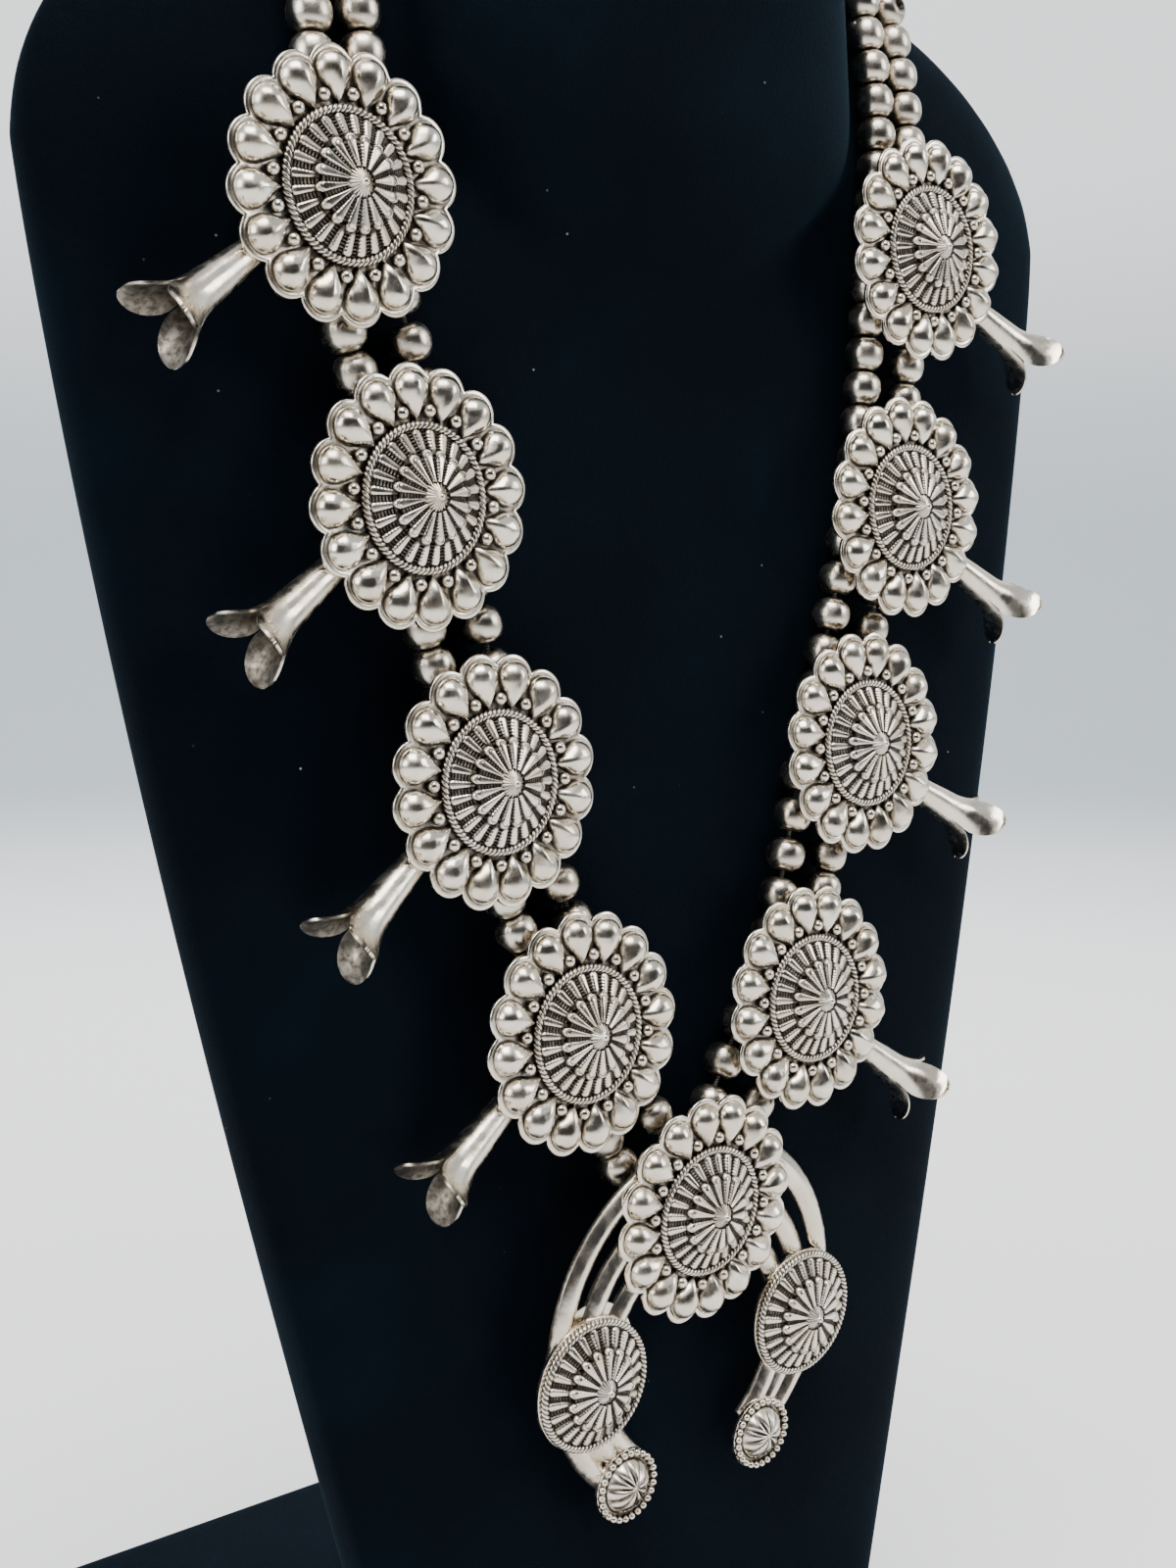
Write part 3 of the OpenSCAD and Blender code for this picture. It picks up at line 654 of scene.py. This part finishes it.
# Place of a blossom's plate: the middle of the solid's farthest back plane that is full of corners
def plateSeat(node):
    inverse = hungFrame().inverted() @ toMetres.inverted()
    points = np.array([inverse @ vert.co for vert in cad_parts[node].data.vertices])
    depths, counts = np.unique(np.round(points[:, 1], 2), return_counts=True)
    back = depths[counts > 0.35 * counts.max()].max()
    back = np.median(points[np.abs(points[:, 1] - back) < 0.02][:, 1])
    flat = points[np.abs(points[:, 1] - back) < 0.002]
    low, high = flat.min(axis=0), flat.max(axis=0)
    return (low[0] + high[0]) / 2, (low[2] + high[2]) / 2, -back


# The shank tubes and their posts behind a plate, cut from the frame's solid and led into the plate
def shankShape(node, local, cut):
    bm = cadShape(node, local)
    bmesh.ops.bisect_plane(bm, geom=bm.verts[:] + bm.edges[:] + bm.faces[:], plane_co=(0, 0, cut),
                           plane_no=(0, 0, 1), clear_outer=True)
    far = [vert for vert in bm.verts if vert.co.xy.length > 14]
    bmesh.ops.delete(bm, geom=far, context="VERTS")
    rim = [edge for edge in bm.edges if edge.is_boundary]
    raised = bmesh.ops.extrude_edge_only(bm, edges=rim)["geom"]
    top = [item for item in raised if isinstance(item, bmesh.types.BMVert)]
    bmesh.ops.translate(bm, verts=top, vec=(0, 0, 0.3 - cut))
    return asMesh(bm, node + "Shanks")


# Parts of the naja

naja = {
    "place": (-1, 114.5), "off": 9.2, "tilt": 5.5, "turn": 6, "armX": 25.3, "armDrop": 25.1,
    "armTurn": 9, "tipX": 16.4, "tipDrop": 46.2, "tipTurn": 10,
    "barWidth": 4.4, "barHeight": 2, "barFront": 0.6, "barSteps": 72,
    "bars": ((31.4, 20.4, 0.8), (26, 23.1, -1), (21.4, 26.2, -3)),    # radius, centre, ends
    "backing": (-24.3, -21.1, 9.5), "backingBack": -1.9, "backingFront": -0.9,
    "tipRadius": 6.7, "tipBalls": 26, "tipBall": 0.7, "tipBallHigh": 1.1,
    "tipFlutes": 10, "tipSphere": 5.9, "tipSunk": 3.2, "tipReach": 5.0, "tipLean": (-0.5, 0.7),
    "discEdge": 0.12,
}


def barShape(radius, centreDrop, endDrop):
    bm = emptyShape()
    half, base = naja["barWidth"] / 2, naja["barFront"] - naja["barHeight"]
    side = ((half, base), (half, base + 0.5), (half - 0.12, base + 0.72), (0.8 * half, base + 1.02),
            (0.58 * half, base + 1.38), (0.33 * half, base + 1.72), (0.12 * half, base + 1.93))
    section = list(side) + [(-off, height) for off, height in reversed(side)]
    start = math.asin((centreDrop - endDrop) / radius)
    corners = []
    for off, height in section:
        out = radius + off
        corners.append(bm.verts.new((out * math.cos(start), out * math.sin(start), height)))
    links = [bm.edges.new(pair) for pair in zip(corners, corners[1:] + corners[:1])]
    bmesh.ops.spin(bm, geom=corners + links, cent=(0, 0, 0), axis=(0, 0, 1),
                   angle=math.pi - 2 * start, steps=naja["barSteps"])
    ends = [edge for edge in bm.edges if edge.is_boundary]
    bmesh.ops.holes_fill(bm, edges=ends, sides=0)
    bmesh.ops.recalc_face_normals(bm, faces=bm.faces)
    patina = bm.verts.layers.float["patina"]
    for vert in bm.verts:
        off = abs(vert.co.xy.length - radius) / half
        vert[patina] = 0.75 * max(0.0, off - 0.82) / 0.18
    bmesh.ops.translate(bm, verts=bm.verts, vec=(0, -centreDrop, 0))
    return bm


def discShape(radius, low, high):
    bm = emptyShape()
    bmesh.ops.create_cone(bm, cap_ends=True, segments=96, radius1=radius, radius2=radius,
                          depth=high - low, matrix=shift(0, 0, (high + low) / 2))
    rims = [edge for edge in bm.edges if abs(edge.verts[0].co.z - edge.verts[1].co.z) < 1e-4]
    bmesh.ops.bevel(bm, geom=rims, affect="EDGES", offset=naja["discEdge"], segments=2, profile=0.5,
                    material=-1)
    return bm


# A terminal's dome, flutes like almonds that meet at a point beside its middle
def almondShape():
    reach, perFlute = naja["tipReach"], 10
    columns = naja["tipFlutes"] * perFlute
    shares = (1.0, 0.97, 0.93, 0.88, 0.8, 0.7, 0.6, 0.5, 0.4, 0.3, 0.2, 0.12, 0.05, 0)

    def place(row, column):
        share, angle = shares[row], math.tau * column / columns
        across = abs(2 * ((column % perFlute) / perFlute) - 1)
        belly = math.sin(math.pi * min(1, max(0, share) ** 0.8)) ** 0.6 if share < 0.999 else 0
        ridge = math.sqrt(max(0.0, 1 - (across / 0.86) ** 2)) if across < 0.86 else 0.0
        radius = reach * share
        height = rosette["plate"] - naja["tipSunk"]
        height += math.sqrt(naja["tipSphere"] ** 2 - radius ** 2)
        lift = 0.75 * belly * ridge - 0.3 * belly
        if share < 0.06:
            lift = 0.12
        dark = 0.95 * (1 - ridge) * (0.3 + 0.7 * belly) if share > 0.1 else 0.0
        if share > 0.95:
            dark = max(dark, 0.8)
        return radius, angle, height + lift, dark
    bm = facingUp(turned(columns, len(shares), place))
    for vert in bm.verts:
        pull = 1 - min(1.0, vert.co.xy.length / reach)
        vert.co += Vector((*naja["tipLean"], 0)) * pull
    return bm


def terminalShape():
    bm = emptyShape()
    parts = [(discShape(naja["tipRadius"] - 0.1, 0, rosette["plate"]), [Matrix()]),
             (almondShape(), [Matrix()])]
    ball = emptyShape()
    bmesh.ops.create_uvsphere(ball, u_segments=12, v_segments=8, radius=naja["tipBall"])
    seat = shift(naja["tipRadius"] - naja["tipBall"], 0, naja["tipBallHigh"])
    ring = [turnZ(360 * i / naja["tipBalls"]) @ seat for i in range(naja["tipBalls"])]
    parts.append((ball, ring))
    for part, places in parts:
        mesh = asMesh(part, "terminalPart")
        for place in places:
            addCopy(bm, mesh, place)
        bpy.data.meshes.remove(mesh)
    darkenHollows(bm, reach=1.0)
    return bm


bead = {
    "radius": 3.5, "half": 3.0, "hole": 0.95, "lip": 0.13, "sink": 0.12, "columns": 24, "rows": 15,
    "square": 0.86, "longest": 6.9, "lean": 1, "spacing": 17,
}


# A drilled oblate bead round the Z axis
def beadShape():
    columns, rows = bead["columns"], bead["rows"]
    middle = bead["radius"] - bead["half"]
    reach = math.acos((bead["hole"] + bead["lip"] - middle) / bead["half"])

    def place(row, column):
        angle = math.tau * column / columns
        if row in (0, rows - 1):
            side = -1 if row == 0 else 1
            return bead["hole"], angle, side * (bead["half"] * math.sin(reach) - bead["sink"]), 1.0
        turn = reach * (2 * (row - 1) / (rows - 3) - 1)
        share = abs(turn) / reach
        out = bead["half"] * math.cos(turn) ** bead["square"]
        along = math.copysign(bead["half"] * abs(math.sin(turn)) ** bead["square"], turn)
        return middle + out, angle, along, 0.05 + 0.8 * max(0.0, (share - 0.55) / 0.45) ** 1.5
    bm = turned(columns, rows, place)
    rims = [edge for edge in bm.edges if edge.is_boundary]
    bmesh.ops.bridge_loops(bm, edges=rims)
    bmesh.ops.recalc_face_normals(bm, faces=bm.faces)
    return asMesh(bm, "oneBead")


# Middle and axis of every bead of a node, in the order of its solids
def beadPlaces(node):
    bm = bmesh.new()
    bm.from_mesh(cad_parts[node].data)
    bmesh.ops.transform(bm, matrix=toMetres.inverted(), verts=bm.verts)
    bmesh.ops.remove_doubles(bm, verts=bm.verts, dist=0.0005)
    seen, places = set(), []
    for first in bm.verts:
        if first in seen:
            continue
        island, waiting = [], [first]
        seen.add(first)
        while waiting:
            vert = waiting.pop()
            island.append(vert.co[:])
            for edge in vert.link_edges:
                other = edge.other_vert(vert)
                if other not in seen:
                    seen.add(other)
                    waiting.append(other)
        points = np.array(island)
        middle = (points.min(axis=0) + points.max(axis=0)) / 2
        away = np.linalg.norm(points - middle, axis=1)
        rims = points[away < away.min() + 0.03]    # corners round the hole lie nearest the middle
        axes = np.linalg.eigh(np.cov((rims - middle).T))[1]
        places.append((Vector(middle), Vector(axes[:, 2])))
    bm.free()
    return places


shared = {"tarnish": tarnishGroup(), "pile": pileGroup()}
stampedSilver = silver("stampedSilver", 0.6, 0.45)
beadSilver = silver("beadSilver", 0.12, 0.3, lines=True)
claspSilver = silver("claspSilver", 0.5, 0.4, attributes=False)
blackVelvet = velvet()
foxtailChain = foxtail()
print("materials made")

# The bust: padded, so the rings of its solid are rounded into one smooth form with slight hollows
bust = {"levels": 2, "capInset": 3, "hollow": 0.2, "ripple": 0.02}
solid = cadShape("neck_bust", Matrix())
solid.normal_update()
bmesh.ops.dissolve_faces(solid, faces=[face for face in solid.faces if abs(face.normal.z) > 0.999])
caps = [face for face in solid.faces if len(face.verts) > 8]
bmesh.ops.inset_individual(solid, faces=caps, thickness=bust["capInset"], depth=0,
                           use_even_offset=True)
sides = [face for face in solid.faces if len(face.verts) == 3]
bmesh.ops.join_triangles(solid, faces=sides, angle_face_threshold=math.pi,
                         angle_shape_threshold=math.pi)
crease = solid.edges.layers.float.new("crease_edge")
for edge in solid.edges:
    if max(vert.co.z for vert in edge.verts) < hanging["boardTop"] + 0.5:
        edge[crease] = 1    # the foot stays sharp where it stands on the board
draft = bpy.data.objects.new("bustDraft", asMesh(solid, "bustSolid"))
bpy.context.scene.collection.objects.link(draft)
rounding = draft.modifiers.new("rounding", "SUBSURF")
rounding.levels = rounding.render_levels = bust["levels"]
depsgraph = bpy.context.evaluated_depsgraph_get()
even = bpy.data.meshes.new_from_object(draft.evaluated_get(depsgraph))
bpy.data.objects.remove(draft)
bustForm = bmesh.new()
bustForm.from_mesh(even)
bpy.data.meshes.remove(even)
bustForm.normal_update()
for vert in bustForm.verts:
    dent = 0.5 + 0.5 * noise.noise(vert.co * bust["ripple"])
    if vert.co.z > hanging["boardTop"] + 3:
        vert.co -= vert.normal * bust["hollow"] * dent
bustPiece = finishPiece("neckBustVelvet", bustForm, blackVelvet, "neck_bust")
print("bust made", len(bustPiece.data.polygons))

# The board: its own solid, with softened edges
boardEdge = 1.5
board = cadShape("base_board", Matrix())
bmesh.ops.dissolve_limit(board, angle_limit=math.radians(1), verts=board.verts, edges=board.edges)
rims = [edge for edge in board.edges if edge.calc_face_angle(0) > math.radians(30)]
bmesh.ops.bevel(board, geom=rims, affect="EDGES", offset=boardEdge, segments=3, profile=0.5,
                material=-1)
finishPiece("baseBoardVelvet", board, blackVelvet, "base_board")
print("board made")

# Blossoms: one rosette, copied, with the trumpet and the shank tubes that belong to each
rosetteForm = rosetteShape()
darkenHollows(rosetteForm)
rosetteMesh = asMesh(rosetteForm, "rosette")
domeForm = domeShape()
darkenHollows(domeForm)
domeMesh = asMesh(domeForm, "armDome")
trumpetForm = trumpetShape()
darkenHollows(trumpetForm, reach=3, strength=0.6)
trumpetMesh = asMesh(trumpetForm, "trumpet")
print("rosette made", len(rosetteMesh.polygons))

# How far each blossom's petals and its trumpet are turned in their own way, in degrees
blossoms = {
    "blossom_left_1": (6.2, 0.5), "blossom_left_2": (5.3, 1), "blossom_left_3": (9.3, 4),
    "blossom_left_4": (5, 0), "blossom_right_1": (12.6, -3), "blossom_right_2": (6.5, -1),
    "blossom_right_3": (11.8, -4), "blossom_right_4": (6.6, 2.5),
}
sharpFrom = math.radians(52)


def blossomPiece(node):
    turn, extra = blossoms[node]
    x, z, off = plateSeat(node)
    print(node, round(x, 2), round(z, 2), round(off, 2))
    local = facingOut(x, z, off)
    hand = 1 if "right" in node else -1
    form = emptyShape()
    addCopy(form, rosetteMesh, turnZ(turn))
    addCopy(form, trumpetMesh, trumpetPlace(hand, extra))
    shanks = shankShape(node, local, -0.02)
    addCopy(form, shanks, Matrix())
    bpy.data.meshes.remove(shanks)
    bmesh.ops.transform(form, matrix=local, verts=form.verts)
    piece = finishPiece(node + "_stamped", form, stampedSilver, node)
    piece.data.set_sharp_from_angle(angle=sharpFrom)


for node in blossoms:
    blossomPiece(node)
print("blossoms made")


def najaPiece():
    x, z = naja["place"]
    local = facingOut(x, z, naja["off"]) @ Matrix.Rotation(math.radians(naja["tilt"]), 4, "X")
    form = emptyShape()
    addCopy(form, rosetteMesh, turnZ(naja["turn"]))
    for radius, drop, end in naja["bars"]:
        addPart(form, barShape(radius, drop, naja["tipDrop"] + end), Matrix())
    for side in (-1, 1):
        place = shift(side * naja["armX"], -naja["armDrop"])
        addPart(form, discShape(rope["radius"] + rope["wire"], 0, rosette["plate"]), place)
        addCopy(form, domeMesh, place @ turnZ(naja["armTurn"] * side))
        tip = shift(side * naja["tipX"], -naja["tipDrop"])
        addPart(form, terminalShape(), tip @ turnZ(naja["tipTurn"] * side))
    backX, backY, backRadius = naja["backing"]
    backing = discShape(backRadius, naja["backingBack"], naja["backingFront"])
    addPart(form, backing, shift(backX, backY))
    shanks = shankShape("naja", local, naja["backingBack"] - 0.05)
    addCopy(form, shanks, Matrix())
    bpy.data.meshes.remove(shanks)
    bmesh.ops.transform(form, matrix=local, verts=form.verts)
    piece = finishPiece("naja_stamped", form, stampedSilver, "naja")
    piece.data.set_sharp_from_angle(angle=sharpFrom)


najaPiece()
print("naja made")

# Beads: each node's beads in one mesh, every bead a little different
beadMesh = beadShape()
shades = random.Random(11)


def beadPiece(node):
    form = bmesh.new()
    form.verts.layers.float.new("patina")
    form.verts.layers.float.new("tone")
    form.verts.layers.float.new("along")
    places = beadPlaces(node)
    for index, (middle, axis) in enumerate(places):
        spans = [(other[0] - middle).length for other in places[max(0, index - 1):index + 2]]
        near = [span for span in spans if 1 < span < bead["longest"]]
        stretch = Matrix.Scale(min(near) / 2 / bead["half"] if near else 1, 4, (0, 0, 1))
        start = len(form.verts)
        form.from_mesh(beadMesh)
        form.verts.ensure_lookup_table()
        tone, along = form.verts.layers.float["tone"], form.verts.layers.float["along"]
        shade, roll = shades.uniform(0, 1), shades.uniform(0, 360)
        lean = Matrix.Rotation(math.radians(shades.uniform(-bead["lean"], bead["lean"])), 4, "X")
        for vert in form.verts[start:]:
            vert[tone] = shade
            vert[along] = vert.co.z + bead["spacing"] * index
        place = Matrix.Translation(middle) @ axis.to_track_quat("Z", "Y").to_matrix().to_4x4()
        bmesh.ops.transform(form, matrix=place @ lean @ turnZ(roll) @ stretch,
                            verts=form.verts[start:])
    finishPiece(node + "_turned", form, beadSilver, node)


for node in ("inner_beads_left", "inner_beads_right", "outer_beads_left", "outer_beads_right"):
    beadPiece(node)
print("beads made")


# The threads and the clasp stay as the frame has them and only take their finishes
def finishNode(node, material):
    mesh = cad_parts[node].data
    if not mesh.materials:
        mesh.materials.append(material)
    for index in range(len(mesh.materials)):
        mesh.materials[index] = material


finishNode("inner_thread", foxtailChain)
finishNode("outer_thread", foxtailChain)
finishNode("clasp", claspSilver)

# Stage: a pale bowl that is darker behind the camera, for the silver to mirror, with painted shade
# darkening the floor towards the foot of its wall
stage = {
    "floor": 1.6, "curve": 0.8, "top": 1.9, "dimAzimuth": 20,
    "near": (0.97, 0.97, 0.97, 1), "foot": (0.50, 0.55, 0.585, 1), "pale": (0.97, 0.97, 0.96, 1),
    "dim": (0.05, 0.05, 0.055, 1), "footFrom": 0.6, "footTo": 1.6, "paleFrom": 0.2, "paleTo": 0.75,
}


def backdropMaterial():
    material, tree, shader = newMaterial("paleBackdrop", {
        "Roughness": 0.9, "Specular IOR Level": 0.1})
    around = addNode(tree, "ShaderNodeVectorMath", {"operation": "DOT_PRODUCT"})
    tree.links.new(placeSocket(tree), around.inputs[0])
    azimuth = math.radians(stage["dimAzimuth"])
    around.inputs[1].default_value = (-math.sin(azimuth), -math.cos(azimuth), 0)
    split = addNode(tree, "ShaderNodeSeparateXYZ")
    tree.links.new(placeSocket(tree), split.inputs[0])
    far = addNode(tree, "ShaderNodeVectorMath", {"operation": "LENGTH"})
    tree.links.new(placeSocket(tree), far.inputs[0])
    # painted shade: the floor darkens outwards to the foot colour, and the wall pales again higher
    # up
    low = colourMix(tree, ramp(tree, far.outputs["Value"], stage["footFrom"], stage["footTo"]),
                    stage["near"], stage["foot"])
    wall = colourMix(tree, ramp(tree, split.outputs["Z"], stage["paleFrom"], stage["paleTo"]),
                     low, stage["pale"])
    whole = colourMix(tree, ramp(tree, around.outputs["Value"], 0.9, 1.9), wall, stage["dim"])
    tree.links.new(whole, shader.inputs["Base Color"])
    return material


# A floor that curves up into a wall all round
def backdrop():
    bm = bmesh.new()
    floor, curve = stage["floor"], stage["curve"]
    bends = [(floor + curve * math.sin(math.radians(a)), curve * (1 - math.cos(math.radians(a))))
             for a in range(0, 91, 10)]
    profile = [(0.0, 0.0), (floor / 2, 0.0)] + bends + [(floor + curve, stage["top"])]
    chain = [bm.verts.new((radius, 0, height)) for radius, height in profile]
    links = [bm.edges.new(pair) for pair in zip(chain, chain[1:])]
    bmesh.ops.spin(bm, geom=chain + links, cent=(0, 0, 0), axis=(0, 0, 1), angle=math.tau, steps=96,
                   use_merge=True)
    bmesh.ops.remove_doubles(bm, verts=bm.verts, dist=0.0001)
    bmesh.ops.recalc_face_normals(bm, faces=bm.faces)
    facingUp(bm)
    mesh = asMesh(bm, "backdrop")
    mesh.materials.append(backdropMaterial())
    mesh.shade_smooth()
    piece = bpy.data.objects.new("backdrop", mesh)
    bpy.context.scene.collection.objects.link(piece)


backdrop()

camera = {"place": (-0.2541, -0.3311, 0.2474), "azimuth": 41.1, "pitch": 7.3, "lens": 49.5}


def addCamera():
    data = bpy.data.cameras.new("camera")
    data.lens = camera["lens"]
    data.sensor_width = 36
    data.clip_start = 0.01
    data.clip_end = 24
    view = bpy.data.objects.new("camera", data)
    view.location = camera["place"]
    azimuth, pitch = math.radians(camera["azimuth"]), math.radians(camera["pitch"])
    level = math.cos(pitch)
    ahead = Vector((math.sin(azimuth) * level, math.cos(azimuth) * level, -math.sin(pitch)))
    view.rotation_mode = "QUATERNION"
    view.rotation_quaternion = ahead.to_track_quat("-Z", "Y")
    bpy.context.scene.collection.objects.link(view)
    bpy.context.scene.camera = view


addCamera()

# Each softbox: its place, what it faces, its two sides, its power and its colour
softboxes = {
    "ceilingLight": ((-0.3, -0.5, 1.45), (0, 0, 0.2), (0.9, 0.7), 18, (1.0, 0.97, 0.93)),
    "windowLight": ((-1.35, -0.15, 0.75), (0, 0, 0.25), (0.6, 0.8), 9, (1.0, 0.98, 0.95)),
    "sideLight": ((1.05, -1.1, 0.8), (0, 0, 0.2), (0.5, 0.8), 8, (1.0, 0.98, 0.95)),
    "wallLight": ((0.4, 0.6, 1.5), (1.1, 1.3, 0.1), (1.2, 0.8), 28, (0.97, 0.98, 1.0)),
}
room = {"colour": (0.82, 0.86, 0.92, 1), "strength": 0.75}


def addSoftbox(name, place, aim, size, power, colour):
    data = bpy.data.lights.new(name, "AREA")
    data.shape = "RECTANGLE"
    data.size, data.size_y = size
    data.energy = power
    data.color = colour
    box = bpy.data.objects.new(name, data)
    box.location = place
    box.rotation_mode = "QUATERNION"
    box.rotation_quaternion = (Vector(aim) - Vector(place)).to_track_quat("-Z", "Y")
    bpy.context.scene.collection.objects.link(box)


for name, settings in softboxes.items():
    addSoftbox(name, *settings)
world = bpy.data.worlds.new("softRoom")
world.use_nodes = True
sky = world.node_tree.nodes["Background"]
sky.inputs["Color"].default_value = room["colour"]
sky.inputs["Strength"].default_value = room["strength"]
bpy.context.scene.world = world
print("stage, camera and lights made")
